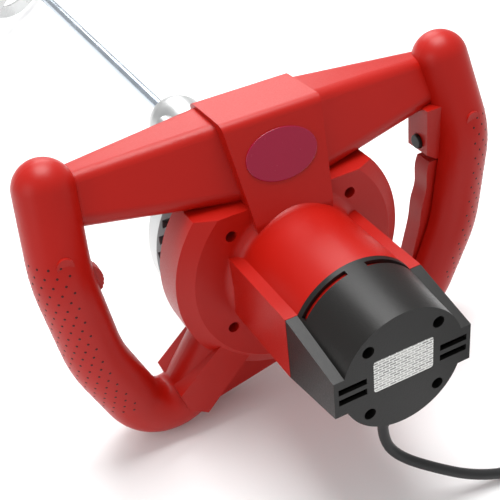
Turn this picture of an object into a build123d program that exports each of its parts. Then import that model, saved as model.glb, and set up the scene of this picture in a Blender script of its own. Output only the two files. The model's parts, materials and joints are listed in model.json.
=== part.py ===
"""Two-handed electric paint and mortar mixer, lying on the floor as it is stored.

Every piece is drawn in the machine's own frame: the motor axis is Z with the cap at the rear (+Z) and the
mixing rod forward (-Z), +Y runs from the motor to the crossbar, and +X to the trigger hand.  The finished
pieces are then laid down together on the floor, +Z up, resting on both handle loops and the paddle ring.
All lengths are in millimetres.
"""
import os
from math import acos, atan, atan2, cos, degrees, pi, radians, sin, sqrt, tan

from build123d import *

os.makedirs("parts", exist_ok=True)

# ---------------------------------------------------------------- driving dimensions
WALL = 2.8                      # moulded nylon wall
SHUT = 0.3                      # gap between pieces that only lie beside each other
RUN = 0.04                      # radial running clearance of a shaft in its bearing

TUBE_R = 46.0                   # motor tube, outside
RIB_X, RIB_Y = 48.5, 23.0       # flat sides of the tube, where the brush holders sit
TUBE_REAR = -52.0               # front edge of the cap
FLANGE_Z = -127.0               # rear face of the flange
FLANGE_R = 75.0
DISC_R, DISC_Z = 85.5, -134.0   # the big round disc of the housing
SEAM_Z = -149.0                 # where the two housing shells meet, below the crossbar
DISC_FRONT = -160.0
VENT_R, VENT_FRONT = 79.5, -180.0

SPINDLE_Y = 23.3                # mixing spindle above the motor axis
ROD_R = 5.0
ROD_END = -915.0
PADDLE_R = 60.0
NOSE_FRONT = -335.0

SCREW_SQUARE = 24.0             # cap screws stand on a square of twice this side
FLANGE_SCREWS = ((44.6, 38.6), (-44.6, 38.6), (51.0, -34.0), (-51.0, -34.0))
GRIP_SCREWS = ((151.0, 56.0), (-151.0, 56.0), (134.0, -60.0), (-134.0, -60.0))
CASE_SCREW_R, CASE_SCREW_ANGLES = 71.0, (45, 135, 225, 315)
GRIP_R = 19.8                   # round section of both grips
GRIP_BOW = (                    # corners of the right grip's centre line, from its upper end to the disc
    (146.0, 92.0, -167.0),
    (152.5, 40.0, -148.0),
    (143.5, -30.0, -147.0),
    (123.0, -82.0, -150.0),
    (98.0, -111.0, -150.0),
    (52.0, -49.0, -150.0),
)
GRIP_BENDS = (70.0, 110.0, 36.0, 25.0)

MODULE_1, PINION_1, WHEEL_1 = 0.7, 9, 54      # motor pinion and first gear
MODULE_2, PINION_2, WHEEL_2 = 1.5, 9, 40      # layshaft pinion and output gear
PRESSURE = 25.0                                # degrees
STUB = 0.8                                     # tooth addendum in modules
BACKLASH = 0.10                                # taken off each tooth at the pitch circle

CENTRES_1 = MODULE_1 * (PINION_1 + WHEEL_1) / 2
CENTRES_2 = MODULE_2 * (PINION_2 + WHEEL_2) / 2
LAY_Y = (CENTRES_1**2 - CENTRES_2**2 + SPINDLE_Y**2) / (2 * SPINDLE_Y)
LAY_X = sqrt(CENTRES_1**2 - LAY_Y**2)

# ---------------------------------------------------------------- lying on the floor
NOSE_DROP = 5.94                # degrees that the rod slopes down to the floor
FLOOR = 131.207                   # floor below the motor axis, square to the floor
MIDDLE = 457.19                  # half of the object's length along the floor, from the motor's rear
LYING = Location((0, -MIDDLE, FLOOR)) * Location((0, 0, 0), (90 - NOSE_DROP, 0, 0))

def write(piece, name, on_floor=False):
    """Label a finished piece, lay it down with the machine and write its STEP file."""
    body = piece.part if on_floor else piece.part.moved(LYING)
    body.label = name
    export_step(body, f"parts/{name}.step")


def across(z, x=0.0, y=0.0):
    """Plane square to the motor axis at station z, with its origin at (x, y)."""
    return Plane((x, y, z), x_dir=(1, 0, 0), z_dir=(0, 0, 1))


def rod_between(x, y, low, high, radius):
    """Plain round bar parallel to the motor axis, added to the open part."""
    with Locations((x, y, (low + high) / 2)):
        Cylinder(radius, high - low)


def bore_between(x, y, low, high, radius):
    """Round hole parallel to the motor axis, cut from the open part."""
    with Locations((x, y, (low + high) / 2)):
        Cylinder(radius, high - low, mode=Mode.SUBTRACT)


# ---------------------------------------------------------------- handle frame
def grip_loop(wall):
    """Right grip and lower arm as one bent tube with a round upper end; wall > 0 gives its hollow."""
    with BuildPart() as loop:
        with BuildLine():
            bow = FilletPolyline(*GRIP_BOW, radius=list(GRIP_BENDS))
        for run in bow.edges():
            with BuildSketch(Plane(run @ 0, z_dir=run % 0)):
                Circle(GRIP_R - wall)
            if run.geom_type == GeomType.LINE:
                extrude(amount=run.length)
            else:
                turning = Axis(run.arc_center, (run @ 0 - run.arc_center).cross(run % 0))
                revolve(axis=turning, revolution_arc=degrees(run.length / run.radius))
        with Locations(GRIP_BOW[0]):
            Sphere(GRIP_R - wall)
    return loop.part


def bar_section(x, low, high, rear_low, rear_high, front, wall):
    """Four-sided section of the crossbar at x: a sloping rear face, rounded corners."""
    with BuildSketch(Plane.YZ.offset(x)) as section:
        with BuildLine():
            FilletPolyline(
                (low + wall, front + wall),
                (high - wall, front + wall),
                (high - wall, rear_high - wall),
                (low + wall, rear_low - wall),
                radius=max(9.0 - wall, 3.0),
                close=True,
            )
        make_face()
    return section.sketch


def crossbar_arm(wall):
    """Right half of the crossbar, from the badge panel out to the grip."""
    with BuildPart() as arm:
        add(bar_section(20.0, 50.0, 105.0, -130.5, -151.0, -192.0, wall))
        add(bar_section(132.0, 62.0, 96.0, -149.0, -165.0, -187.0, wall))
        loft()
    return arm.part


def lower_plate(wall):
    """Flat-faced rib that carries the right arm into the flange."""
    with BuildPart() as plate:
        with BuildSketch(across(-171.0 + wall)):
            with BuildLine():
                Polyline((14, -36), (32, -56), (78, -102), (92, -92), (96, -77), (60, -46), (44, -30), close=True)
            make_face()
            offset(amount=-wall, kind=Kind.INTERSECTION)
        extrude(amount=171.0 - 129.0 - 2 * wall)
    return plate.part


def bottom_web(wall):
    """Thin web that closes the space between the two lower arms."""
    with BuildPart() as web:
        with BuildSketch(across(-172.0 + wall)):
            with BuildLine():
                Polyline((-76, -113), (0, -97), (76, -113), (60, -50), (-60, -50), close=True)
            make_face()
            offset(amount=-wall, kind=Kind.INTERSECTION)
        extrude(amount=172.0 - 147.0 - 2 * wall)
    return web.part


def badge_panel(wall):
    """Raised middle panel of the crossbar, which slopes forward and rounds over the top."""
    with BuildPart() as panel:
        with BuildSketch(Plane.YZ):
            with BuildLine():
                FilletPolyline(
                    (30.0, -192.0 + wall),
                    (106.0 - wall, -192.0 + wall),
                    (108.0 - wall, -143.0 - wall),
                    (42.0, -121.5 - wall),
                    (30.0, -121.5 - wall),
                    radius=7.0 if wall == 0 else 4.0,
                    close=True,
                )
            make_face()
        extrude(amount=36.0 - wall, both=True)
        with BuildSketch(across(-200.0)):
            with BuildLine():
                Polyline(
                    (-27.0 + wall, 28.0), (27.0 - wall, 28.0), (36.0 - wall, 112.0), (-36.0 + wall, 112.0),
                    close=True,
                )
            make_face()
        extrude(amount=100.0, mode=Mode.INTERSECT)
    return panel.part


def round_disc(wall):
    """Disc of the housing with its conical rear band and flat flange."""
    with BuildPart() as disc:
        with BuildSketch(Plane.XZ):
            with BuildLine():
                Polyline(
                    (0, DISC_FRONT), (DISC_R - wall, DISC_FRONT), (DISC_R - wall, DISC_Z - wall / 2),
                    (FLANGE_R - wall, FLANGE_Z - wall), (0, FLANGE_Z - wall), close=True,
                )
            make_face()
        revolve(axis=Axis.Z)
        with BuildSketch(across(SEAM_Z - wall)):
            with Locations((0, 54.0 - wall + 50.0)):
                Rectangle(200.0, 100.0)
        extrude(amount=40.0, mode=Mode.SUBTRACT)
    return disc.part


def housing_solid(wall):
    """Outer form of the whole housing (wall 0), or the space inside it."""
    with BuildPart() as form:
        add(round_disc(wall))
        add(badge_panel(wall))
        for side in (grip_loop(wall), crossbar_arm(wall), lower_plate(wall)):
            add(side)
            add(side.mirror(Plane.YZ))
        add(bottom_web(wall))
    return form.part


def seam_side():
    """Everything behind the moulded parting surface, which steps forward under the crossbar."""
    with BuildPart() as rear:
        with BuildSketch(Plane.YZ):
            with BuildLine():
                Polyline(
                    (-150, SEAM_Z), (52, SEAM_Z), (86, -165), (150, -165), (150, 0), (-150, 0), close=True,
                )
            make_face()
        extrude(amount=200.0, both=True)
    return rear.part



# ---------------------------------------------------------------- housing shells
def screw_posts(posts, low, high, radius):
    """Round posts parallel to the motor axis, added to the open part."""
    for x, y in posts:
        rod_between(x, y, low, high, radius)


def screw_holes(posts, low, high, radius):
    """Round holes parallel to the motor axis, cut from the open part."""
    for x, y in posts:
        bore_between(x, y, low, high, radius)


def trigger_slots():
    """Room for the trigger, the lock button and the speed dial in the inner sides of the grips."""
    with BuildPart() as room:
        with BuildSketch(across(-164.0)):
            with BuildLine():
                Polyline((110, 25), (138, 25), (138, -20), (124, -66), (96, -60), close=True)
            make_face()
        extrude(amount=18.0)
        with Locations(Location((127.0, BUTTON_AT[1], BUTTON_AT[2]), (0, 90, 0))):
            Cylinder(BUTTON_R + 0.25, 18.0)
        with Locations((DIAL_AT[0] + 9.0, DIAL_AT[1], DIAL_AT[2])):
            Box(14.0, 27.0, DIAL_W + 1.2)
    return room.part


def button_boss():
    """Block on the inner side of the right grip that holds the lock button."""
    with BuildPart() as boss:
        with BuildSketch(across(-169.0)):
            with BuildLine():
                Polyline((121, 66), (121, 31), (129, 25.5), (137, 25.5), (137, 66), close=True)
            make_face()
        extrude(amount=23.0)
    return boss.part


PIVOT = (122.0, -57.0)
TRIGGER_REAR, TRIGGER_FRONT = -147.5, -162.5
BUTTON_AT, BUTTON_R = (120.0, 38.0, -157.0), 5.5
DIAL_AT, DIAL_R, DIAL_W = (-140.5, 30.0, -150.0), 14.0, 8.0

OUTER = housing_solid(0.0)
HOLLOW = housing_solid(WALL)
VENT_WALL = Pos(0, 0, -178.6) * Cylinder(VENT_R + SHUT + WALL, 42.8)
REAR_SIDE = seam_side()
BOSS = button_boss()
SLOTS = trigger_slots()


def case_screw_places():
    """Centres of the four long screws that hold the gear case to the housing."""
    return [(CASE_SCREW_R * cos(radians(a)), CASE_SCREW_R * sin(radians(a))) for a in CASE_SCREW_ANGLES]


def make_rear_housing():
    """Motor tube, flange and the rear halves of both grips, moulded in one."""
    with BuildPart() as shell:
        add(OUTER)
        add(BOSS)
        add(HOLLOW, mode=Mode.SUBTRACT)
        add(REAR_SIDE, mode=Mode.INTERSECT)
        bore_between(0, 0, -200.0, DISC_FRONT, VENT_R + SHUT)
        screw_posts(FLANGE_SCREWS, SEAM_Z, FLANGE_Z - 1.0, 6.5)
        screw_posts(GRIP_SCREWS, SEAM_Z, -133.0, 5.5)
        screw_holes(GRIP_SCREWS, SEAM_Z - 1.0, -135.0, 1.8)
        with BuildSketch(Plane.XZ):
            with BuildLine():
                Line((0, FLANGE_Z - WALL), (TUBE_R + 8, FLANGE_Z - WALL))
                Line((TUBE_R + 8, FLANGE_Z - WALL), (TUBE_R + 8, FLANGE_Z))
                RadiusArc((TUBE_R + 8, FLANGE_Z), (TUBE_R, FLANGE_Z + 8), 8)
                Line((TUBE_R, FLANGE_Z + 8), (TUBE_R, TUBE_REAR))
                Line((TUBE_R, TUBE_REAR), (43.4, TUBE_REAR))
                Line((43.4, TUBE_REAR), (42.5, -42.0))
                Line((42.5, -42.0), (0, -42.0))
                Line((0, -42.0), (0, FLANGE_Z - WALL))
            make_face()
        revolve(axis=Axis.Z)
        with BuildSketch(across(FLANGE_Z)):
            Rectangle(2 * RIB_X, 2 * RIB_Y)
        extrude(amount=TUBE_REAR - FLANGE_Z)
        bore_between(0, 0, FLANGE_Z - WALL - 4, -72.0, STATOR_R + 0.1)
        bore_between(0, 0, -73.0, -45.0, 39.5)
        with BuildSketch(across(-72.0)):
            Rectangle(2 * RIB_X - 5.0, 2 * RIB_Y - 8.0)
        extrude(amount=20.0 + 7.0, mode=Mode.SUBTRACT)
        rod_between(0, 0, -42.0, -30.0, 14.0)
        bore_between(0, 0, -38.0, -30.0, BEARING_8[1])
        bore_between(0, 0, -46.0, -30.0, 6.5)
        with BuildSketch(across(-46.0)):
            with PolarLocations(27.0, 4):
                Circle(8.0)
        extrude(amount=5.0, mode=Mode.SUBTRACT)
        corners = [(x, y) for x in (-SCREW_SQUARE, SCREW_SQUARE) for y in (-SCREW_SQUARE, SCREW_SQUARE)]
        screw_posts(corners, -50.0, -42.0, 4.5)
        screw_holes(corners, -50.0, -40.0, 1.8)
        screw_holes(FLANGE_SCREWS, FLANGE_Z - 14.0, FLANGE_Z + 2.0, 4.0)
        screw_holes(FLANGE_SCREWS, SEAM_Z - 1.0, FLANGE_Z - 10.0, 2.2)
        add(SLOTS, mode=Mode.SUBTRACT)
        rod_between(PIVOT[0], PIVOT[1], TRIGGER_REAR + 0.5, -136.5, 4.0)
        bore_between(PIVOT[0], PIVOT[1], TRIGGER_REAR, -141.0, 1.5)
    return shell


def make_front_housing():
    """Front halves of the disc, the crossbar and both grips."""
    with BuildPart() as shell:
        add(OUTER)
        add(BOSS)
        add(HOLLOW - VENT_WALL, mode=Mode.SUBTRACT)
        screw_posts(FLANGE_SCREWS, DISC_FRONT, SEAM_Z, 6.5)
        screw_posts(GRIP_SCREWS[:2], -171.5, SEAM_Z, 5.0)
        screw_posts(GRIP_SCREWS[2:], -165.8, SEAM_Z, 5.0)
        screw_posts(case_screw_places(), DISC_FRONT, SEAM_Z, 6.0)
        add(REAR_SIDE, mode=Mode.SUBTRACT)
        screw_holes(GRIP_SCREWS, -176.0, -160.0, 4.0)
        screw_holes(GRIP_SCREWS, -161.0, SEAM_Z + 1.0, 2.2)
        screw_holes(FLANGE_SCREWS, DISC_FRONT + 3.0, SEAM_Z + 1.0, 1.8)
        bore_between(0, 0, -200.0, DISC_FRONT, VENT_R + SHUT)
        bore_between(0, 0, DISC_FRONT - 1.0, DISC_FRONT + 8.0, 50.0)
        screw_holes(case_screw_places(), DISC_FRONT - 1.0, DISC_FRONT + 10.0, 2.0)
        add(SLOTS, mode=Mode.SUBTRACT)
        bore_between(PIVOT[0], PIVOT[1], -165.0, -163.0, 1.5)
    return shell


# ---------------------------------------------------------------- bearings: bore, outside, width
BEARING_6 = (3.0, 9.5, 6.0)
BEARING_8 = (4.0, 11.0, 7.0)
BEARING_15 = (7.5, 17.5, 11.0)


def ball_bearing(size, x, y, low):
    """Shielded ball bearing: outer ring, shield grooves and a bore with running clearance."""
    bore, outside, width = size
    with BuildPart() as bearing:
        with BuildSketch(across(low, x, y)):
            Circle(outside)
            Circle(bore + RUN, mode=Mode.SUBTRACT)
        extrude(amount=width)
        for face_z, depth in ((low, 0.4), (low + width, -0.4)):
            with BuildSketch(across(face_z, x, y)):
                Circle(bore + 0.72 * (outside - bore))
                Circle(bore + 0.28 * (outside - bore), mode=Mode.SUBTRACT)
            extrude(amount=depth, mode=Mode.SUBTRACT)
    return bearing


# ---------------------------------------------------------------- gears
def involute(angle):
    return tan(angle) - angle


def spur_gear(module, teeth, x, y, low, high, tooth_at, bore):
    """Involute spur gear with its axis at (x, y) and one tooth pointing at tooth_at degrees."""
    pitch = module * teeth / 2
    base = pitch * cos(radians(PRESSURE))
    tip, root = pitch + STUB * module, pitch - (STUB + 0.2) * module
    at_pitch = pi / (2 * teeth) - BACKLASH / (2 * pitch) + involute(radians(PRESSURE))
    start = max(base, root)
    radii = [start + (tip - start) * step / 5 for step in range(6)]
    flank = [(r, at_pitch - involute(acos(min(base / r, 1.0)))) for r in radii]
    upper = [(r * cos(a), r * sin(a)) for r, a in flank]
    lower = [(r * cos(a), -r * sin(a)) for r, a in flank]
    foot = (root - 0.4 * module) * cos(flank[0][1]), (root - 0.4 * module) * sin(flank[0][1])
    with BuildPart() as gear:
        with BuildSketch(across(low, x, y)):
            Circle(root)
            with BuildSketch(mode=Mode.PRIVATE) as tooth:
                with BuildLine():
                    Spline(*upper)
                    Line(upper[-1], lower[-1])
                    Spline(*lower)
                    Line(lower[0], (foot[0], -foot[1]))
                    Line((foot[0], -foot[1]), foot)
                    Line(foot, upper[0])
                make_face()
            with PolarLocations(0, teeth, start_angle=tooth_at):
                add(tooth.sketch)
            if bore:
                Circle(bore, mode=Mode.SUBTRACT)
        extrude(amount=high - low)
    return gear


TO_LAYSHAFT = degrees(atan2(LAY_Y, LAY_X))
TO_SPINDLE = degrees(atan2(SPINDLE_Y - LAY_Y, -LAY_X))


def make_armature_shaft():
    """Motor shaft with its hobbed pinion at the front end."""
    with BuildPart() as shaft:
        add(spur_gear(MODULE_1, PINION_1, 0, 0, -204.0, -190.5, TO_LAYSHAFT, 0).part)
        rod_between(0, 0, -190.5, -30.5, BEARING_8[0])
        rod_between(0, 0, -180.5, -38.5, 5.0)
    return shaft


def make_layshaft():
    """Intermediate shaft with the second-stage pinion cut on it."""
    with BuildPart() as shaft:
        add(spur_gear(MODULE_2, PINION_2, LAY_X, LAY_Y, -226.0, -203.0, TO_SPINDLE, 0).part)
        rod_between(LAY_X, LAY_Y, -203.0, -191.0, 4.5)
        rod_between(LAY_X, LAY_Y, -191.0, -184.5, BEARING_6[0])
        rod_between(LAY_X, LAY_Y, -235.5, -226.0, BEARING_6[0])
    return shaft


def make_first_gear():
    """Large wheel of the first stage, pressed on the layshaft, with six lightening holes."""
    teeth_at = 180 + TO_LAYSHAFT + 180 / WHEEL_1
    with BuildPart() as wheel:
        add(spur_gear(MODULE_1, WHEEL_1, LAY_X, LAY_Y, -202.0, -194.0, teeth_at, 4.5).part)
        with BuildSketch(across(-202.0, LAY_X, LAY_Y)):
            with PolarLocations(11.0, 6):
                Circle(3.2)
        extrude(amount=8.0, mode=Mode.SUBTRACT)
    return wheel


def make_output_gear():
    """Large wheel of the second stage, keyed on the spindle, with six lightening holes."""
    teeth_at = 180 + TO_SPINDLE + 180 / WHEEL_2
    with BuildPart() as wheel:
        add(spur_gear(MODULE_2, WHEEL_2, 0, SPINDLE_Y, -223.0, -206.0, teeth_at, 8.5).part)
        with BuildSketch(across(-223.0, 0, SPINDLE_Y)):
            with PolarLocations(18.0, 6):
                Circle(4.5)
        extrude(amount=17.0, mode=Mode.SUBTRACT)
    return wheel


# ---------------------------------------------------------------- spindle, rod and paddle
def make_spindle():
    """Output spindle: journals, gear seat and the threaded socket that takes the rod."""
    with BuildPart() as spindle:
        rod_between(0, SPINDLE_Y, -205.5, -183.5, BEARING_8[0])
        rod_between(0, SPINDLE_Y, -226.0, -205.5, 8.5)
        rod_between(0, SPINDLE_Y, -312.0, -226.0, BEARING_15[0])
        rod_between(0, SPINDLE_Y, -337.0, -312.0, 9.6)
        bore_between(0, SPINDLE_Y, -338.0, -312.0, 7.0)
    return spindle


def make_rod():
    """Round steel rod with its thicker threaded end screwed into the spindle."""
    with BuildPart() as rod:
        rod_between(0, SPINDLE_Y, -334.0, -312.5, 6.95)
        rod_between(0, SPINDLE_Y, ROD_END, -334.0, ROD_R)
        chamfer(rod.edges().filter_by(GeomType.CIRCLE).sort_by(Axis.Z)[0], length=1.0)
    return rod


BLADE_TOP, BLADE_PITCH, BLADE_WIDTH, BLADE_THICK = -766.0, 300.0, 14.0, 2.5
BLADE_START = -135.0            # degrees at the upper end of the first blade


def make_blades():
    """Two welded steel ribbons that wind half a turn each round the rod."""
    height = BLADE_TOP - (ROD_END + 9.0)
    with BuildPart() as blades:
        for start in (BLADE_START, BLADE_START + 180):
            with BuildPart(mode=Mode.PRIVATE) as ribbon:
                with BuildLine():
                    wind = Helix(BLADE_PITCH, height, PADDLE_R - BLADE_WIDTH / 2, lefthand=True)
                with BuildSketch(Plane(wind @ 0, x_dir=(1, 0, 0), z_dir=wind % 0)):
                    Rectangle(BLADE_WIDTH, BLADE_THICK)
                sweep(path=wind, is_frenet=True)
            turn = Location((0, SPINDLE_Y, BLADE_TOP)) * Location((0, 0, 0), (180, 0, -start))
            add(ribbon.part.moved(turn))
    return blades


def make_paddle_ring():
    """Flat-bar ring at the foot of the paddle, with a hub and spokes, and the two upper struts."""
    with BuildPart() as ring:
        with BuildSketch(across(ROD_END)):
            with Locations((0, SPINDLE_Y)):
                Circle(PADDLE_R)
                Circle(PADDLE_R - 3.0, mode=Mode.SUBTRACT)
        extrude(amount=10.0)
        with BuildSketch(across(ROD_END)):
            with Locations(Location((0, SPINDLE_Y), 0), Location((0, SPINDLE_Y), 60), Location((0, SPINDLE_Y), 120)):
                Rectangle(2 * PADDLE_R - 4.0, 8.0)
        extrude(amount=3.0)
        rod_between(0, SPINDLE_Y, ROD_END, ROD_END + 12.0, 9.0)
        bore_between(0, SPINDLE_Y, ROD_END - 1.0, ROD_END + 13.0, ROD_R)
    return ring


def make_paddle_struts():
    """Cross bar that carries the upper ends of both blades, with its hub on the rod."""
    with BuildPart() as struts:
        with BuildSketch(across(BLADE_TOP - 1.25)):
            with Locations(Location((0, SPINDLE_Y), BLADE_START)):
                Rectangle(2 * PADDLE_R - 4.0, 12.0)
        extrude(amount=2.5)
        rod_between(0, SPINDLE_Y, BLADE_TOP - 6.0, BLADE_TOP + 6.0, 8.0)
        bore_between(0, SPINDLE_Y, BLADE_TOP - 7.0, BLADE_TOP + 7.0, ROD_R)
    return struts


# ---------------------------------------------------------------- gear case
CASE_BODY_R, CASE_BODY_Y = 52.0, 6.0
NOSE_R = 23.5


def make_gear_case():
    """Die-cast gear case: flange, round body, cone and bearing nose with four cast bosses."""
    with BuildPart() as case:
        rod_between(0, 0, -198.0, -190.0, 78.0)
        with BuildSketch(across(-198.0, 0, CASE_BODY_Y + 2)):
            Circle(CASE_BODY_R + 4.0)
        with BuildSketch(across(-241.0, 0, CASE_BODY_Y)):
            Circle(CASE_BODY_R)
        loft()
        with BuildSketch(across(-241.0, 0, CASE_BODY_Y)):
            Circle(CASE_BODY_R)
        with BuildSketch(across(-270.0, 0, SPINDLE_Y)):
            Circle(NOSE_R + 1.0)
        loft()
        with BuildSketch(Plane.XZ.offset(-SPINDLE_Y)):
            with BuildLine():
                Polyline((0, -255), (NOSE_R, -255), (NOSE_R, -316))
                ThreePointArc((NOSE_R, -316), (19.5, -327.5), (13.0, NOSE_FRONT))
                Polyline((13.0, NOSE_FRONT), (0, NOSE_FRONT), (0, -255))
            make_face()
        revolve(axis=Axis((0, SPINDLE_Y, 0), (0, 0, 1)))
        bosses = [Location((23.5 * cos(radians(a)), SPINDLE_Y + 23.5 * sin(radians(a)))) for a in BOSS_ANGLES]
        with BuildSketch(across(-293.0)):
            with Locations(*bosses):
                Circle(8.5)
        extrude(amount=50.0)
        bore_between(0, CASE_BODY_Y + 1, -237.0, -189.0, CASE_BODY_R - 3.5)
        bore_between(0, SPINDLE_Y, NOSE_FRONT - 1, -236.0, 10.2)
        bore_between(0, SPINDLE_Y, -262.0, -236.0, BEARING_15[1])
        bore_between(0, SPINDLE_Y, -304.0, -262.0, BEARING_15[1])
        bore_between(0, SPINDLE_Y, -312.0, -304.0, 15.0)
        bore_between(LAY_X, LAY_Y, -237.0 - 0.5, -236.0, 10.0)
        with BuildSketch(across(-237.5, LAY_X, LAY_Y)):
            Circle(12.5)
            Circle(BEARING_6[1], mode=Mode.SUBTRACT)
        extrude(amount=7.5)
        with BuildSketch(across(-199.0)):
            with PolarLocations(CASE_SCREW_R, 4, start_angle=45):
                Circle(2.8)
        extrude(amount=10.0, mode=Mode.SUBTRACT)
        with BuildSketch(across(-294.0)):
            with Locations(*bosses):
                Circle(2.5)
        extrude(amount=12.0, mode=Mode.SUBTRACT)
    return case


BOSS_ANGLES = (37.0, 143.0, 217.0, 323.0)


def make_bearing_plate():
    """Aluminium plate between motor and gears that holds one end of all three shafts."""
    with BuildPart() as plate:
        rod_between(0, 0, -190.0, -180.0, 78.0)
        bore_between(0, 0, -188.0, -180.0, BEARING_8[1])
        bore_between(0, 0, -190.0, -188.0, 5.5)
        bore_between(LAY_X, LAY_Y, -190.0, -184.0, BEARING_6[1])
        bore_between(0, SPINDLE_Y, -190.0, -183.0, BEARING_8[1])
        with BuildSketch(across(-190.0)):
            with PolarLocations(CASE_SCREW_R, 4, start_angle=45):
                Circle(2.8)
        extrude(amount=10.0, mode=Mode.SUBTRACT)
    return plate


def make_vent_ring():
    """Ring between housing and gear case; the fan blows out through its slanted slots."""
    with BuildPart() as ring:
        with BuildSketch(across(VENT_FRONT)):
            Circle(VENT_R)
            Circle(VENT_R - 4.0, mode=Mode.SUBTRACT)
        extrude(amount=DISC_FRONT - VENT_FRONT)
        with BuildSketch(across(VENT_FRONT)):
            with PolarLocations(CASE_SCREW_R, 4, start_angle=45):
                Circle(6.0)
        extrude(amount=DISC_FRONT - VENT_FRONT)
        slots = [angle for angle in range(0, 360, 9) if (angle - 45) % 90 not in (0, 9, 81)]
        for angle in slots:
            tilt = Location((0, 0, 0), (0, 0, angle)) * Location((VENT_R, 0, -170.0), (38, 0, 0))
            add(Box(16.0, 5.5, 15.0, mode=Mode.PRIVATE).moved(tilt), mode=Mode.SUBTRACT)
        with BuildSketch(across(VENT_FRONT)):
            with PolarLocations(CASE_SCREW_R, 4, start_angle=45):
                Circle(2.8)
        extrude(amount=DISC_FRONT - VENT_FRONT, mode=Mode.SUBTRACT)
    return ring


def make_seal():
    with BuildPart() as seal:
        with BuildSketch(across(-311.5, 0, SPINDLE_Y)):
            Circle(15.0)
            Circle(BEARING_15[0] + 0.05, mode=Mode.SUBTRACT)
        extrude(amount=7.0)
    return seal


def make_circlip():
    """Spring clip that keeps the front bearings on the spindle."""
    with BuildPart() as clip:
        with BuildSketch(across(-287.5, 0, SPINDLE_Y)):
            Circle(10.0)
            Circle(BEARING_15[0], mode=Mode.SUBTRACT)
            with Locations((0, 9.0)):
                Rectangle(5.0, 6.0, mode=Mode.SUBTRACT)
        extrude(amount=1.0)
    return clip


# ---------------------------------------------------------------- motor
CORE_FRONT, CORE_REAR = -131.0, -77.0
STATOR_R, STATOR_BORE = 42.5, 25.0


def make_stator_core():
    """Laminated field core: outer ring with two pole shoes."""
    with BuildPart() as core:
        with BuildSketch(across(CORE_FRONT)):
            Circle(STATOR_R)
            Circle(STATOR_BORE, mode=Mode.SUBTRACT)
            with BuildSketch(mode=Mode.PRIVATE) as pocket:
                Circle(35.0)
                Circle(27.0, mode=Mode.SUBTRACT)
                with Locations((0, 30.0), (0, -30.0)):
                    Rectangle(38.0, 30.0, mode=Mode.SUBTRACT)
            add(pocket.sketch, mode=Mode.SUBTRACT)
        extrude(amount=CORE_REAR - CORE_FRONT)
    return core


def make_field_coils():
    """Two copper field coils, one round each pole shoe, with their end turns."""
    with BuildPart() as coils:
        with BuildSketch(across(CORE_FRONT - 9.0)):
            Circle(34.6)
            Circle(27.4, mode=Mode.SUBTRACT)
            Rectangle(80.0, 3.0, mode=Mode.SUBTRACT)
        extrude(amount=CORE_REAR - CORE_FRONT + 18.0)
        with BuildSketch(across(CORE_FRONT - 0.4)):
            with Locations((0, 30.0), (0, -30.0)):
                Rectangle(39.0, 31.0)
        extrude(amount=CORE_REAR - CORE_FRONT + 0.8, mode=Mode.SUBTRACT)
    return coils


def make_armature_core():
    """Laminated armature with twelve winding slots."""
    with BuildPart() as core:
        with BuildSketch(across(CORE_FRONT)):
            Circle(STATOR_BORE - 0.8)
            Circle(5.0, mode=Mode.SUBTRACT)
            with PolarLocations(19.0, 12):
                SlotCenterToCenter(6.0, 4.0, mode=Mode.SUBTRACT)
        extrude(amount=CORE_REAR - CORE_FRONT)
    return core


def make_armature_windings():
    """Copper end turns at both ends of the armature."""
    with BuildPart() as turns:
        for low, high in ((CORE_FRONT - 9.0, CORE_FRONT), (CORE_REAR, CORE_REAR + 8.0)):
            with BuildSketch(across(low)):
                Circle(22.0)
                Circle(5.0, mode=Mode.SUBTRACT)
            extrude(amount=high - low)
        fillet(turns.edges().filter_by(GeomType.CIRCLE).filter_by(lambda e: e.radius > 20), radius=3.0)
    return turns


def make_commutator():
    with BuildPart() as drum:
        with BuildSketch(across(-68.0)):
            Circle(14.0)
            Circle(5.0, mode=Mode.SUBTRACT)
        extrude(amount=17.0)
        with BuildSketch(across(-66.0)):
            with PolarLocations(14.0, 24):
                Rectangle(1.6, 0.6)
        extrude(amount=15.0, mode=Mode.SUBTRACT)
    return drum


def make_fan():
    """Moulded cooling fan: hub, back disc and curved blades."""
    with BuildPart() as fan:
        rod_between(0, 0, -178.0, -163.0, 11.0)
        rod_between(0, 0, -165.5, -163.0, 60.0)
        with BuildSketch(across(-176.5)):
            with PolarLocations(36.0, 15):
                with Locations(Location((0, 0), 28)):
                    Rectangle(40.0, 2.2)
        extrude(amount=11.5)
        bore_between(0, 0, -179.0, -162.0, 5.0)
    return fan


def make_brush_holders():
    with BuildPart() as holders:
        for side in (-1, 1):
            with Locations((side * 30.0, 0, -59.5)):
                Box(29.0, 12.0, 10.0)
                Box(31.0, 8.2, 6.2, mode=Mode.SUBTRACT)
    return holders


def make_brushes():
    with BuildPart() as brushes:
        for side in (-1, 1):
            with Locations((side * 24.2, 0, -59.5)):
                Box(20.0, 8.0, 6.0)
        bore_between(0, 0, -70.0, -50.0, 14.1)
    return brushes


def make_brush_springs():
    with BuildPart() as springs:
        for side in (-1, 1):
            with BuildPart(mode=Mode.PRIVATE) as spring:
                with BuildLine():
                    wind = Helix(pitch=2.0, height=8.0, radius=2.2)
                with BuildSketch(Plane(wind @ 0, z_dir=wind % 0)):
                    Circle(0.35)
                sweep(path=wind, is_frenet=True)
            add(spring.part.moved(Location((side * 34.8, 0, -59.5), (0, side * 90, 0))))
    return springs


# ---------------------------------------------------------------- rear cap
CAP_WALL = 2.5
CORD_AT = (0.0, -24.0)          # x and z of the cord exit in the underside of the cap


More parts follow.
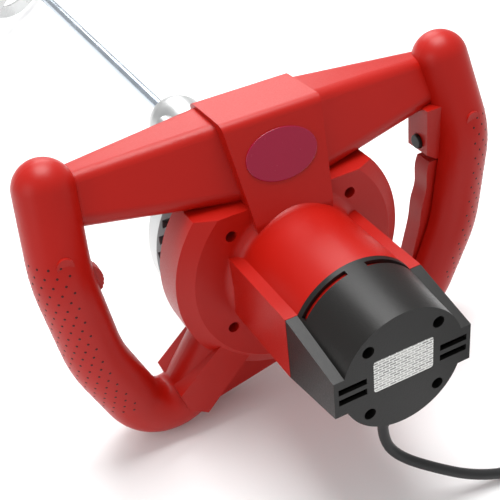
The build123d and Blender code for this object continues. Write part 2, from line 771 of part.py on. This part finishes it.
def cap_section(z, wall):
    """Outline of the rear cap at station z: round body with a flat-topped ear on each side."""
    part_way = (z - TUBE_REAR) / -TUBE_REAR
    round_r = 46.4 - 4.6 * part_way - wall
    ear_x = 48.4 - 0.9 * part_way - wall
    ear_top = 23.0 - 11.6 * part_way - wall
    ear_foot = 23.0 - 7.6 * part_way - wall
    with BuildSketch(across(z)) as section:
        Circle(round_r)
        with BuildLine():
            Polyline((-ear_x, -ear_foot), (ear_x, -ear_foot), (ear_x, ear_top), (-ear_x, ear_top), close=True)
        make_face()
    return section.sketch


def cap_solid(wall, low, high):
    with BuildPart() as solid:
        add(cap_section(low, wall))
        add(cap_section(high, wall))
        loft()
    return solid.part


def make_rear_cap():
    """Black end cap: tapered cup with ears, screw columns, vent slots and the cord hole."""
    screws_at = [(x, y) for x in (-SCREW_SQUARE, SCREW_SQUARE) for y in (-SCREW_SQUARE, SCREW_SQUARE)]
    with BuildPart() as cap:
        add(cap_solid(0.0, TUBE_REAR + SHUT, 0.0))
        add(cap_solid(CAP_WALL, TUBE_REAR - 1.0, -CAP_WALL), mode=Mode.SUBTRACT)
        screw_posts(screws_at, -41.7, -1.0, 6.5)
        screw_holes(screws_at, -38.0, 1.0, 4.0)
        screw_holes(screws_at, -43.0, -37.0, 2.1)
        with BuildSketch(across(-0.5, 0.0, 2.85)):
            RectangleRounded(41.8, 23.9, 2.2)
        extrude(amount=2.0, mode=Mode.SUBTRACT)
        for side in (-1, 1):
            for slot_y in (3.1, -4.7):
                with Locations((side * 35.0, slot_y, -2.0)):
                    Box(19.0, 4.4, 12.0, mode=Mode.SUBTRACT)
        with Locations(Location((CORD_AT[0], -43.0, CORD_AT[1]), (90, 0, 0))):
            Cylinder(6.3, 14.0, mode=Mode.SUBTRACT)
        for middle, half in ((125.0, 24.0), (60.0, 24.0)):
            with BuildSketch(across(-48.0)):
                Circle(48.0)
                Circle(41.0, mode=Mode.SUBTRACT)
                with BuildLine():
                    Line((0, 0), (90 * cos(radians(middle - half)), 90 * sin(radians(middle - half))))
                    Line((90 * cos(radians(middle - half)), 90 * sin(radians(middle - half))),
                         (90 * cos(radians(middle + half)), 90 * sin(radians(middle + half))))
                    Line((90 * cos(radians(middle + half)), 90 * sin(radians(middle + half))), (0, 0))
                make_face(mode=Mode.INTERSECT)
            extrude(amount=4.0, mode=Mode.SUBTRACT)
    return cap


def screw_group(places, seat, head_radius, head_height, shank_radius, tip, forward=True):
    """A group of pan-head screws; each head sits on its seat and the shank reaches the tip."""
    rise = 1 if forward else -1
    with BuildPart() as screws:
        for x, y in places:
            low, high = sorted((seat, seat + rise * head_height))
            rod_between(x, y, low, high, head_radius)
            low, high = sorted((seat, tip))
            rod_between(x, y, low, high, shank_radius)
            slot_at = seat + rise * (head_height - 0.5)
            with Locations((x, y, slot_at)):
                Box(head_radius * 1.3, 0.9, 1.01, mode=Mode.SUBTRACT)
                Box(0.9, head_radius * 1.3, 1.01, mode=Mode.SUBTRACT)
    return screws


# ---------------------------------------------------------------- plates
def make_rating_plate():
    """Thin plain label in its shallow pocket in the flat rear face of the cap."""
    with BuildPart() as plate:
        with BuildSketch(across(-0.5, 0.0, 2.85)):
            RectangleRounded(41.4, 23.5, 2.0)
        extrude(amount=0.4)
    return plate


PANEL_SLOPE = 21.5 / 66.0


def make_badge():
    """Flat oval badge, bonded on the sloping panel above the motor tube."""
    tilt = atan(PANEL_SLOPE)
    middle = (0, 80.9, -121.5 - PANEL_SLOPE * (80.9 - 42.0))
    face = Plane(middle, x_dir=(1, 0, 0), z_dir=(0, sin(tilt), cos(tilt)))
    with BuildPart() as badge:
        with BuildSketch(face):
            Ellipse(25.5, 16.9)
        extrude(amount=0.9)
        fillet(badge.edges().sort_by(Axis((0, 0, 0), face.z_dir))[-1], radius=0.5)
    return badge


# ---------------------------------------------------------------- controls
def make_trigger():
    """Long squeeze lever on the inner side of the right grip, hinged at its lower end."""
    with BuildPart() as trigger:
        with BuildSketch(across(TRIGGER_FRONT)):
            with BuildLine():
                Spline((124.5, 23.5), (122.0, 10.0), (121.8, 0.0), (118.8, -10.0), (116.5, -26.0),
                       (112.8, -42.0), (109.5, -55.0))
                Line((109.5, -55.0), (112.0, -60.0))
                Line((112.0, -60.0), (122.0, -62.5))
                Line((122.0, -62.5), (127.0, -57.0))
                Line((127.0, -57.0), (129.5, -30.0))
                Line((129.5, -30.0), (131.5, 0.0))
                Line((131.5, 0.0), (131.0, 23.5))
                Line((131.0, 23.5), (124.5, 23.5))
            make_face()
        extrude(amount=TRIGGER_REAR - TRIGGER_FRONT)
        bore_between(PIVOT[0], PIVOT[1], TRIGGER_FRONT - 1, TRIGGER_REAR + 1, 1.5 + RUN)
        bore_between(PIVOT[0], PIVOT[1], -158.0, -152.0, 4.5)
    return trigger


def make_trigger_pin():
    with BuildPart() as pin:
        rod_between(PIVOT[0], PIVOT[1], -165.0, -141.0, 1.5)
    return pin


def make_trigger_spring():
    """Torsion coil round the trigger pin."""
    with BuildPart() as spring:
        with BuildLine():
            wind = Helix(pitch=1.1, height=4.4, radius=2.3)
        with BuildSketch(Plane(wind @ 0, z_dir=wind % 0)):
            Circle(0.35)
        sweep(path=wind, is_frenet=True)
    spring.part = spring.part.moved(Location((PIVOT[0], PIVOT[1], -157.2)))
    return spring


def make_lock_button():
    """Round lock-on button with a collar that keeps it in its bore."""
    with BuildPart() as button:
        with Locations(Location((125.5, BUTTON_AT[1], BUTTON_AT[2]), (0, 90, 0))):
            Cylinder(BUTTON_R - 0.25, 14.0)
        fillet(button.faces().sort_by(Axis.X)[0].edges(), radius=0.8)
    return button


def make_speed_dial():
    """Thumbwheel that sets the speed, with a notched rim."""
    with BuildPart() as dial:
        with BuildSketch(across(DIAL_AT[2] - DIAL_W / 2, DIAL_AT[0], DIAL_AT[1])):
            Circle(DIAL_R)
            with PolarLocations(DIAL_R + 0.5, 28):
                Circle(0.9, mode=Mode.SUBTRACT)
            Circle(2.5 + RUN, mode=Mode.SUBTRACT)
        extrude(amount=DIAL_W)
    return dial


def make_speed_module():
    """Potted speed controller with the spindle that carries the thumbwheel."""
    with BuildPart() as module:
        with Locations((DIAL_AT[0] - 11.0, DIAL_AT[1], DIAL_AT[2] - 9.25)):
            Box(14.0, 26.0, 5.5)
        with Locations((DIAL_AT[0] - 5.5, DIAL_AT[1], DIAL_AT[2] - 6.2)):
            Box(16.0, 12.0, 2.0)
        rod_between(DIAL_AT[0], DIAL_AT[1], DIAL_AT[2] - 6.0, DIAL_AT[2] + DIAL_W / 2 + 1.0, 2.5)
    return module


def make_switch():
    """Mains switch behind the trigger, with its plunger."""
    with BuildPart() as switch:
        with Locations((147.5, 5.0, -152.0)):
            Box(14.0, 40.0, 16.0)
        with Locations((139.0, 10.0, -155.0)):
            Box(4.0, 6.0, 6.0)
    return switch


def make_suppressor():
    """Radio suppressor block on the rear wall of the housing, under the cap."""
    with BuildPart() as block:
        with Locations((0, 30.0, -34.0)):
            Box(20.0, 12.0, 16.0)
    return block


def make_cord_clamp():
    """Moulded bar that grips the cord inside the cap."""
    with BuildPart() as bar:
        with Locations((0, -34.0, -37.0)):
            Box(24.0, 6.0, 10.0)
    return bar


# ---------------------------------------------------------------- cord, lying on the floor
CORD_R = 3.6
CORD_LEVEL = 3.65               # height of the cord's middle where it lies on the floor
COIL_AT = (170.0, -538.0)
TURN_STEP = 7.6                 # spacing of the turns, sideways and upward
TURN_RADII = [40.0 + TURN_STEP * turn for turn in (-1.5, -0.5, 0.5, 1.5)]
COIL_LAYERS = 2
CORD_PATH = (
    (0.0, -440.15, 63.08),
    (0.0, -441.81, 47.17),
    (9.0, -449.2, 33.0),
    (28.0, -461.0, 23.0),
    (52.0, -472.0, 11.0),
    (80.0, -479.5, CORD_LEVEL),
    (112.0, -481.0, CORD_LEVEL),
    (142.0, COIL_AT[1] + TURN_RADII[-1], CORD_LEVEL),
    (COIL_AT[0], COIL_AT[1] + TURN_RADII[-1], CORD_LEVEL),
)


def bend_radii(path):
    """Radius for each corner: 0.45 of the shorter neighbouring run over tan(half the turn)."""
    radii = []
    for before, here, after in zip(path, path[1:], path[2:]):
        run_in = Vector(*here) - Vector(*before)
        run_out = Vector(*after) - Vector(*here)
        half_turn = radians(run_in.get_angle(run_out)) / 2
        radii.append(0.45 * min(run_in.length, run_out.length) / tan(half_turn))
    return radii


def make_cord_tube():
    """Round cord from the strain relief, down to the floor and along it to the coil."""
    radii = bend_radii(CORD_PATH)
    print("cord bend radii", [round(radius, 1) for radius in radii])
    with BuildPart() as tube:
        with BuildLine():
            route = FilletPolyline(*CORD_PATH, radius=radii)
        with BuildSketch(Plane(route @ 0, z_dir=route % 0)):
            Circle(CORD_R)
        sweep(path=route)
    return tube


def make_cord_coil():
    """Outer form of the coiled spare cord: a ring four turns wide and two turns high."""
    height = 2 * CORD_R + (COIL_LAYERS - 1) * TURN_STEP
    with BuildPart() as coil:
        with BuildSketch(Plane((COIL_AT[0], COIL_AT[1], CORD_LEVEL - CORD_R))):
            Circle(TURN_RADII[-1] + CORD_R)
            Circle(TURN_RADII[0] - CORD_R, mode=Mode.SUBTRACT)
        extrude(amount=height)
        fillet(coil.edges().filter_by(GeomType.CIRCLE), radius=CORD_R - 0.4)
    return coil


def make_strain_relief():
    """Tapered rubber sleeve where the cord leaves the cap, with a collar inside it."""
    sleeve = Plane((CORD_AT[0], -46.0, CORD_AT[1]), x_dir=(1, 0, 0), z_dir=(0, -1, 0))
    with BuildPart() as relief:
        with BuildSketch(sleeve):
            Circle(5.8)
        with BuildSketch(sleeve.offset(20.0)):
            Circle(4.4)
        loft()
        with BuildSketch(sleeve):
            Circle(6.3)
        extrude(amount=-6.0)
        with BuildSketch(sleeve.offset(-8.0)):
            Circle(8.0)
        extrude(amount=2.4)
    return relief


PLUG_AT = (COIL_AT[0] + 46.0, COIL_AT[1] + TURN_RADII[-1], 13.05)


def make_plug_body():
    """Two-pin mains plug with a tapered sleeve back to the coil."""
    along = Plane(PLUG_AT, x_dir=(0, 1, 0), z_dir=(1, 0, 0))
    with BuildPart() as plug:
        with BuildSketch(along):
            RectangleRounded(28.0, 22.0, 7.0)
        with BuildSketch(along.offset(18.0)):
            RectangleRounded(35.0, 26.0, 9.0)
        with BuildSketch(along.offset(45.0)):
            RectangleRounded(35.0, 26.0, 9.0)
        loft(ruled=True)
        with BuildSketch(along.offset(1.0)):
            Circle(6.5)
        with BuildSketch(along.offset(-40.0)):
            Circle(4.0)
        loft()
    return plug


def make_plug_pins():
    with BuildPart() as pins:
        with BuildSketch(Plane(PLUG_AT, x_dir=(0, 1, 0), z_dir=(1, 0, 0)).offset(45.0)):
            with Locations((-9.5, 0), (9.5, 0)):
                Circle(2.4)
        extrude(amount=19.0)
    return pins


# ---------------------------------------------------------------- all pieces
CAP_SCREWS = [(x, y) for x in (-SCREW_SQUARE, SCREW_SQUARE) for y in (-SCREW_SQUARE, SCREW_SQUARE)]

write(make_rear_housing(), "housing_rear")
write(make_front_housing(), "housing_front")
write(make_rear_cap(), "rear_cap")
write(make_rating_plate(), "rating_plate")
write(make_badge(), "badge")
write(make_vent_ring(), "vent_ring")
write(make_bearing_plate(), "bearing_plate")
write(make_gear_case(), "gear_case")
write(make_trigger(), "trigger")
write(make_trigger_pin(), "trigger_pin")
write(make_trigger_spring(), "trigger_spring")
write(make_lock_button(), "lock_button")
write(make_speed_dial(), "speed_dial")
write(make_speed_module(), "speed_module")
write(make_switch(), "trigger_switch")
write(make_suppressor(), "suppressor")
write(make_cord_clamp(), "cord_clamp")
write(screw_group(CAP_SCREWS, -38.0, 3.6, 2.6, 1.75, -49.0), "cap_screws")
write(screw_group(FLANGE_SCREWS, FLANGE_Z - 14.0, 3.7, 2.6, 1.75, -156.0), "housing_screws")
write(screw_group(GRIP_SCREWS, -160.0, 3.7, 2.6, 1.75, -136.0, forward=False), "grip_screws")
write(screw_group(case_screw_places(), -198.0, 4.6, 3.0, 1.95, -151.0, forward=False), "case_screws")
write(make_stator_core(), "stator_core")
write(make_field_coils(), "field_coils")
write(make_brush_holders(), "brush_holders")
write(make_brushes(), "carbon_brushes")
write(make_brush_springs(), "brush_springs")
write(ball_bearing(BEARING_8, 0, 0, -38.0), "motor_bearing_rear")
write(ball_bearing(BEARING_8, 0, 0, -188.0), "motor_bearing_front")
write(make_armature_shaft(), "armature_shaft")
write(make_armature_core(), "armature_core")
write(make_armature_windings(), "armature_windings")
write(make_commutator(), "commutator")
write(make_fan(), "cooling_fan")
write(ball_bearing(BEARING_6, LAY_X, LAY_Y, -190.0), "layshaft_bearing_rear")
write(ball_bearing(BEARING_6, LAY_X, LAY_Y, -235.0), "layshaft_bearing_front")
write(make_layshaft(), "layshaft")
write(make_first_gear(), "first_gear")
write(ball_bearing(BEARING_8, 0, SPINDLE_Y, -190.0), "spindle_bearing_rear")
write(ball_bearing(BEARING_15, 0, SPINDLE_Y, -262.0), "spindle_bearing_middle")
write(ball_bearing(BEARING_15, 0, SPINDLE_Y, -300.0), "spindle_bearing_front")
write(make_output_gear(), "output_gear")
write(make_spindle(), "spindle")
write(make_circlip(), "spindle_circlip")
write(make_seal(), "spindle_seal")
write(make_rod(), "mixing_rod")
write(make_blades(), "paddle_blades")
write(make_paddle_ring(), "paddle_ring")
write(make_paddle_struts(), "paddle_struts")
write(make_strain_relief(), "strain_relief")
write(make_cord_tube(), "cord_tube", on_floor=True)
write(make_cord_coil(), "cord_coil", on_floor=True)
write(make_plug_body(), "plug_body", on_floor=True)
write(make_plug_pins(), "plug_pins", on_floor=True)
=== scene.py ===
import json
import bpy
from math import cos, pi, radians, sin
from mathutils import Matrix, Vector


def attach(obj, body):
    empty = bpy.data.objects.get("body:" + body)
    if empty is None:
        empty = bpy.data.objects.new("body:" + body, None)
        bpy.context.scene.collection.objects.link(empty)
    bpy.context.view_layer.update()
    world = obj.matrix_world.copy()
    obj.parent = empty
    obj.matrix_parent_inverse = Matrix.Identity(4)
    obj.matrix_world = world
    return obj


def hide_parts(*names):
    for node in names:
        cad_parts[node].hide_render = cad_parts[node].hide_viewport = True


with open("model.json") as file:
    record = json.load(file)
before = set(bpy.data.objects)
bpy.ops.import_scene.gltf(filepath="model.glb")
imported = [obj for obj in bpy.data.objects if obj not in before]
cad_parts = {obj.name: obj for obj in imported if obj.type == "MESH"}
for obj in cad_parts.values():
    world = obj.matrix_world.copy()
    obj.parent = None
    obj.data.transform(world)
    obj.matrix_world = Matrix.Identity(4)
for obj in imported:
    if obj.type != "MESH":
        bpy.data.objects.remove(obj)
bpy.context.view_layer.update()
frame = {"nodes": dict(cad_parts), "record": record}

bpy.ops.object.select_all(action="DESELECT")
nodes = frame["nodes"]


# ---------------------------------------------------------------- studio
# A pale seamless paper floor with one large soft light above, a fill from the left and a second
# light from behind, as in a catalogue studio. The camera stands over the rear cap.
def colour(code):
    """An sRGB hex value as linear RGBA."""
    parts = [int(code[i:i + 2], 16) / 255 for i in (1, 3, 5)]
    return [c / 12.92 if c <= 0.04045 else ((c + 0.055) / 1.055) ** 2.4 for c in parts] + [1.0]


def node(material, kind, inputs=None, **settings):
    """Adds one node with its settings; an input that is a socket is linked, any other is set."""
    tree = material.node_tree
    made = tree.nodes.new(kind)
    for key, value in settings.items():
        setattr(made, key, value)
    for key, value in (inputs or {}).items():
        if isinstance(value, bpy.types.NodeSocket):
            tree.links.new(value, made.inputs[key])
        else:
            made.inputs[key].default_value = value
    return made


def blank(name):
    """An empty material with its output node, ready for its shader."""
    material = bpy.data.materials.new(name)
    material.use_nodes = True
    material.node_tree.nodes.clear()
    return material


def show(material, shader):
    """Links the shader to the material's output and returns the material."""
    node(material, "ShaderNodeOutputMaterial", {"Surface": shader.outputs[0]})
    return material


def of_slot(slot):
    """The CAD nodes whose record row names this material slot."""
    return [nodes[row["node"]] for row in frame["record"]["subparts"] if row["material_slot"] == slot]


def put_on(material, *objects):
    """Gives the objects this one material in every slot."""
    for thing in objects:
        thing.data.materials.clear()
        thing.data.materials.append(material)


paper = blank("seamless_paper")
show(paper, node(paper, "ShaderNodeBsdfPrincipled", {"Base Color": colour("#F4F4F4"), "Roughness": 0.9}))
FLOOR_SIZE, FLOOR_GAP = 12.0, 0.0004
bpy.ops.mesh.primitive_plane_add(size=FLOOR_SIZE, location=(0, 0, -FLOOR_GAP))
floor = bpy.context.object
floor.name = "studio_floor"
put_on(paper, floor)

AIR_STRENGTH = 0.62
world = bpy.data.worlds.new("studio_air")
bpy.context.scene.world = world
world.use_nodes = True
world.node_tree.nodes["Background"].inputs[0].default_value = (1.0, 1.0, 1.0, 1.0)
world.node_tree.nodes["Background"].inputs[1].default_value = AIR_STRENGTH
bpy.context.scene.view_settings.view_transform = "Standard"

LIGHT_AIM = Vector((0, -0.25, 0.1))
for name, place, size, watts in (
    ("soft_top", (0.10, 0.10, 1.5), 0.9, 26.0),
    ("soft_left", (-1.6, -0.6, 0.9), 1.0, 5.0),
    ("soft_back", (0.5, 1.4, 1.1), 1.0, 14.0),
):
    lamp = bpy.data.lights.new(name, "AREA")
    lamp.energy = watts
    lamp.size = size
    holder = bpy.data.objects.new(name, lamp)
    bpy.context.scene.collection.objects.link(holder)
    holder.location = place
    holder.rotation_euler = (LIGHT_AIM - Vector(place)).to_track_quat("-Z", "Y").to_euler()

lens = bpy.data.cameras.new("camera")
lens.lens = 71.4
lens.sensor_width = 36.0
camera = bpy.data.objects.new("camera", lens)
bpy.context.scene.collection.objects.link(camera)
camera.location = (-0.2450, -0.7694, 0.5642)
camera.rotation_euler = (radians(49.107), radians(2.591), radians(-27.955))
bpy.context.scene.camera = camera


# ---------------------------------------------------------------- mains cord
# Black rubber-sheathed flex, 7.2 mm thick. It leaves the cap downward, lies along the floor to
# the side, and its spare length is wound in two layers of four turns that end at a plug.
FLEX = 0.0072
STEP = 0.0076
COIL_X, COIL_Y = 0.170, -0.538
LIE = 0.00365
COIL_MEAN_R = 0.040
turn_radii = [COIL_MEAN_R + STEP * k for k in (1.5, 0.5, -0.5, -1.5)]

route = [
    (0.0, -0.44015, 0.06308),
    (0.0, -0.44181, 0.04717),
    (0.009, -0.4492, 0.0330),
    (0.028, -0.4610, 0.0230),
    (0.052, -0.4720, 0.0110),
    (0.080, -0.4795, LIE),
    (0.112, -0.4810, LIE),
    (0.142, COIL_Y + turn_radii[0], LIE),
]
STEPS = 16
CHANGE_FROM = 0.75                 # share of a turn after which the flex moves to the next ring
order = [0, 1, 2, 3, 3, 2, 1, 0]   # inward on the floor, then outward in the second layer
LAYER = len(turn_radii)
for turn, ring in enumerate(order):
    following = order[turn + 1] if turn + 1 < len(order) else ring
    for step in range(STEPS):
        part = step / STEPS
        change = max(0.0, (part - CHANGE_FROM) / (1 - CHANGE_FROM))
        radius = turn_radii[ring] + (turn_radii[following] - turn_radii[ring]) * change
        angle = pi / 2 - 2 * pi * part
        rise = STEP * (1 if turn >= LAYER else (change if turn == LAYER - 1 else 0))
        route.append((COIL_X + radius * cos(angle), COIL_Y + radius * sin(angle), LIE + rise))
route += [
    (COIL_X, COIL_Y + turn_radii[0], LIE + STEP),
    (COIL_X + 0.020, COIL_Y + turn_radii[0], LIE + STEP + 0.0008),
    (COIL_X + 0.040, COIL_Y + turn_radii[0], LIE + STEP + 0.0016),
]

flex = bpy.data.curves.new("flex", "CURVE")
flex.dimensions = "3D"
line = flex.splines.new("NURBS")
line.points.add(len(route) - 1)
for point, place in zip(line.points, route):
    point.co = (*place, 1.0)
line.order_u = 3
line.use_endpoint_u = True
line.resolution_u = 6
flex.bevel_depth = FLEX / 2
flex.bevel_resolution = 5
flex.use_fill_caps = True
cord = bpy.data.objects.new("mains_cord", flex)
bpy.context.scene.collection.objects.link(cord)

sheath = blank("flex_rubber")
where = node(sheath, "ShaderNodeTexCoord").outputs["Object"]
grain = node(sheath, "ShaderNodeTexNoise", {"Vector": where, "Scale": 900.0, "Detail": 3.0})
relief = node(sheath, "ShaderNodeBump", {"Height": grain.outputs[0], "Strength": 0.25, "Distance": 0.0002})
show(sheath, node(sheath, "ShaderNodeBsdfPrincipled", {
    "Base Color": colour("#1B1B1C"), "Roughness": 0.46, "Normal": relief.outputs[0]}))
put_on(sheath, cord, *of_slot("rubber"))
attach(cord, "machine")
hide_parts("cord_tube", "cord_coil")


# ---------------------------------------------------------------- handle housing
# The red housing halves, the trigger and the speed dial are injection-moulded nylon with glass
# fibre. A spark-eroded mould gives the plastic a fine even grain and a soft, broad shine.
def moulded(name, code, rough, grain_mm, depth, coat=0.0):
    """Injection-moulded plastic: even colour, a spark-eroded grain and faint flow variation."""
    made = blank(name)
    place = node(made, "ShaderNodeTexCoord").outputs["Object"]
    fine = node(made, "ShaderNodeTexNoise", {"Vector": place, "Scale": 1000.0 / grain_mm, "Detail": 4.0})
    slow = node(made, "ShaderNodeTexNoise", {"Vector": place, "Scale": 14.0, "Detail": 2.0})
    dark = [c * 0.86 for c in colour(code)[:3]] + [1.0]
    tint = node(made, "ShaderNodeMix", {0: slow.outputs[0], 6: dark, 7: colour(code)}, data_type="RGBA")
    shine = node(made, "ShaderNodeMapRange", {
        "Value": fine.outputs[0], "From Min": 0.3, "From Max": 0.7,
        "To Min": rough - 0.06, "To Max": rough + 0.06})
    bump = node(made, "ShaderNodeBump", {"Height": fine.outputs[0], "Strength": depth, "Distance": 0.0003})
    return show(made, node(made, "ShaderNodeBsdfPrincipled", {
        "Base Color": tint.outputs[2], "Roughness": shine.outputs[0], "Normal": bump.outputs[0],
        "Coat Weight": coat, "Coat Roughness": 0.25, "Specular IOR Level": 0.28}))


red_nylon = moulded("red_glass_filled_nylon", "#AE1206", 0.38, 1.1, 0.12)
put_on(red_nylon, *of_slot("red_plastic"))


# ---------------------------------------------------------------- grip texture
# Both grips are moulded with small round dimples in staggered rows on their outer and rear
# sides, for a sure hold with gloves. Each is drawn as an almost flat dot on the red housing, in a
# dark red that is painted shade standing for the shadow inside the dimple.
NOSE_DROP = 5.94
REST_BACK, REST_UP = -0.45719, 0.131207
lying = Matrix.Translation((0, REST_BACK, REST_UP)) @ Matrix.Rotation(radians(90 - NOSE_DROP), 4, "X")
grip_line = [
    (0.1508, 0.0620, -0.1550), (0.1506, 0.0254, -0.1478), (0.1453, -0.0159, -0.1472),
    (0.1383, -0.0432, -0.1478), (0.1255, -0.0756, -0.1496),
]
DIMPLE_R, DIMPLE_FLATNESS = 0.00095, 0.14
ROWS, ROW, TOP_ROW = 24, 0.0058, 0.056
COLUMNS, FIRST_TURN, TURN = 6, -24, 21.0
OUTSIDE_GRIP = 0.04


def grip_centre(y):
    """Centre of the right grip at height y, in the machine's own directions."""
    for upper, lower in zip(grip_line, grip_line[1:]):
        if lower[1] <= y <= upper[1]:
            share = (y - lower[1]) / (upper[1] - lower[1])
            return Vector(lower).lerp(Vector(upper), share)


def grip_surface(side, y, turn):
    """Place and normal on the housing where a line from outside meets the grip, or None."""
    outward = Vector((cos(turn), 0, sin(turn)))
    start = grip_centre(y) + outward * OUTSIDE_GRIP
    start.x *= side
    aim = Vector((-outward.x * side, 0, -outward.z))
    start, aim = lying @ start, lying.to_3x3() @ aim
    hits = [nodes[name].ray_cast(start, aim) for name in ("housing_rear", "housing_front")]
    hits = [hit for hit in hits if hit[0]]
    return min(hits, key=lambda hit: (hit[1] - start).length) if hits else None


bpy.ops.object.select_all(action="DESELECT")
bpy.ops.mesh.primitive_uv_sphere_add(segments=8, ring_count=5, radius=DIMPLE_R)
dimple = bpy.context.object
dimple.name = "dimple"
dimples = []
for side in (-1, 1):
    for row_number in range(ROWS):
        y = TOP_ROW - ROW * row_number
        if grip_centre(y) is None:
            continue
        for column in range(COLUMNS):
            found = grip_surface(side, y, radians(FIRST_TURN + TURN * (column + 0.5 * (row_number % 2))))
            if found is None:
                continue
            copy = dimple.copy()
            copy.data = dimple.data.copy()
            bpy.context.scene.collection.objects.link(copy)
            facing = found[2].to_track_quat("Z", "Y").to_matrix().to_4x4()
            flat = Matrix.Diagonal((1.0, 1.0, DIMPLE_FLATNESS, 1.0))
            copy.data.transform(Matrix.Translation(found[1]) @ facing @ flat)
            dimples.append(copy)
bpy.data.objects.remove(dimple)
bpy.ops.object.select_all(action="DESELECT")
for copy in dimples:
    copy.select_set(True)
bpy.context.view_layer.objects.active = dimples[0]
bpy.ops.object.join()
grip_dimples = bpy.context.object
grip_dimples.name = "grip_dimples"
bpy.ops.object.shade_smooth()
# The dots' dark red is painted shade: the same nylon darkened as if in the dimple's hollow.
put_on(moulded("red_nylon_in_shade", "#4A0503", 0.5, 1.1, 0.1), grip_dimples)
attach(grip_dimples, "machine")


# ---------------------------------------------------------------- rear cap and other black parts
# The end cap is black nylon with glass fibre, moulded in one and held by four deep screws. The
# lock button, the fan, the cord clamp and the switch bodies are of the same plastic.
black_nylon = moulded("black_glass_filled_nylon", "#191817", 0.36, 1.0, 0.2)
put_on(black_nylon, *of_slot("black_plastic"))


# ---------------------------------------------------------------- rating plate
# A white printed film in a shallow pocket of the cap. Rows of grey dashes, 5 mm long and 1.8 mm
# apart, stand for its print and are coarser than real letters so that they show.
LABEL_WHITE = "#EDEDEA"
label_film = moulded("white_label_film", LABEL_WHITE, 0.35, 3.0, 0.02)
film_place = node(label_film, "ShaderNodeTexCoord").outputs["Object"]
across_up = node(label_film, "ShaderNodeSeparateXYZ", {"Vector": film_place})
on_label = node(label_film, "ShaderNodeCombineXYZ", {
    "X": across_up.outputs["X"], "Y": across_up.outputs["Z"]})
lines = node(label_film, "ShaderNodeTexBrick", {
    "Vector": on_label.outputs[0], "Color1": colour("#8A8A88"), "Color2": colour("#C4C4C1"),
    "Mortar": colour(LABEL_WHITE), "Scale": 300.0, "Mortar Size": 0.12, "Mortar Smooth": 0.1,
    "Brick Width": 1.5, "Row Height": 0.55})
film_shader = next(n for n in label_film.node_tree.nodes if n.type == "BSDF_PRINCIPLED")
label_film.node_tree.links.new(lines.outputs["Color"], film_shader.inputs["Base Color"])
put_on(label_film, *of_slot("white_label"))


# ---------------------------------------------------------------- badge
# A thin oval plate bonded on the sloping panel, printed crimson under a clear gloss layer, which
# gives it a sharper shine than the plastic around it.
badge_enamel = moulded("crimson_enamel", "#9A0034", 0.22, 4.0, 0.02, 0.4)
put_on(badge_enamel, *of_slot("badge_gloss"))


# ---------------------------------------------------------------- vent ring
# The slotted ring between housing and gear case is plain grey nylon, duller than the black
# parts. The suppressor's case inside is of the same plastic.
grey_nylon = moulded("grey_nylon", "#6F7072", 0.5, 1.0, 0.25)
put_on(grey_nylon, *of_slot("grey_plastic"))


# ---------------------------------------------------------------- gear case
# The gear case and the bearing plate are die-cast aluminium, left bare: pale, with a slightly
# rough skin that blurs what it reflects.
def metal(name, code, rough, grain_mm, depth):
    """Bare or plated metal with a fine directionless texture and faint staining."""
    made = blank(name)
    place = node(made, "ShaderNodeTexCoord").outputs["Object"]
    fine = node(made, "ShaderNodeTexNoise", {"Vector": place, "Scale": 1000.0 / grain_mm, "Detail": 5.0})
    slow = node(made, "ShaderNodeTexNoise", {"Vector": place, "Scale": 45.0, "Detail": 3.0})
    dark = [c * 0.78 for c in colour(code)[:3]] + [1.0]
    tint = node(made, "ShaderNodeMix", {0: slow.outputs[0], 6: dark, 7: colour(code)}, data_type="RGBA")
    shine = node(made, "ShaderNodeMapRange", {
        "Value": slow.outputs[0], "From Min": 0.3, "From Max": 0.7,
        "To Min": rough - 0.07, "To Max": rough + 0.07})
    bump = node(made, "ShaderNodeBump", {"Height": fine.outputs[0], "Strength": depth, "Distance": 0.0002})
    return show(made, node(made, "ShaderNodeBsdfPrincipled", {
        "Base Color": tint.outputs[2], "Metallic": 1.0, "Roughness": shine.outputs[0],
        "Normal": bump.outputs[0]}))


cast = metal("die_cast_aluminium", "#C9CACA", 0.38, 0.7, 0.35)
put_on(cast, *of_slot("cast_aluminium"))


# ---------------------------------------------------------------- rod, spindle, shafts and screws
# The rod, spindle, gears, bearings, screws and springs are steel, most of it zinc plated. The
# plating is smooth and faintly blue, so it mirrors the room with little blur.
plated = metal("zinc_plated_steel", "#C3CDD8", 0.22, 0.9, 0.08)
put_on(plated, *of_slot("steel"))


# ---------------------------------------------------------------- paddle
# Ribbons, ring and struts are bent from plated strip and round bar and welded to the rod. Their
# surface is a little rougher than the rod's.
paddle_steel = metal("plated_strip_steel", "#CBCCCC", 0.3, 1.2, 0.15)
put_on(paddle_steel, *of_slot("paddle_steel"))


# ---------------------------------------------------------------- motor
# The cores are stacks of dull steel sheet and the windings are enamelled copper wire. The
# brushes are pressed carbon in plated holders, and the plug's pins share that plating.
core_steel = metal("core_laminations", "#77787A", 0.45, 0.5, 0.3)
copper = metal("enamelled_copper", "#B5652B", 0.3, 0.6, 0.4)
nickel = metal("nickel_plate", "#D8D2C0", 0.2, 1.0, 0.05)
carbon = moulded("pressed_carbon", "#16161A", 0.6, 0.8, 0.3)
put_on(core_steel, *of_slot("core_steel"))
put_on(copper, *of_slot("copper"))
put_on(nickel, *of_slot("pin_metal"))
put_on(carbon, *of_slot("carbon"))
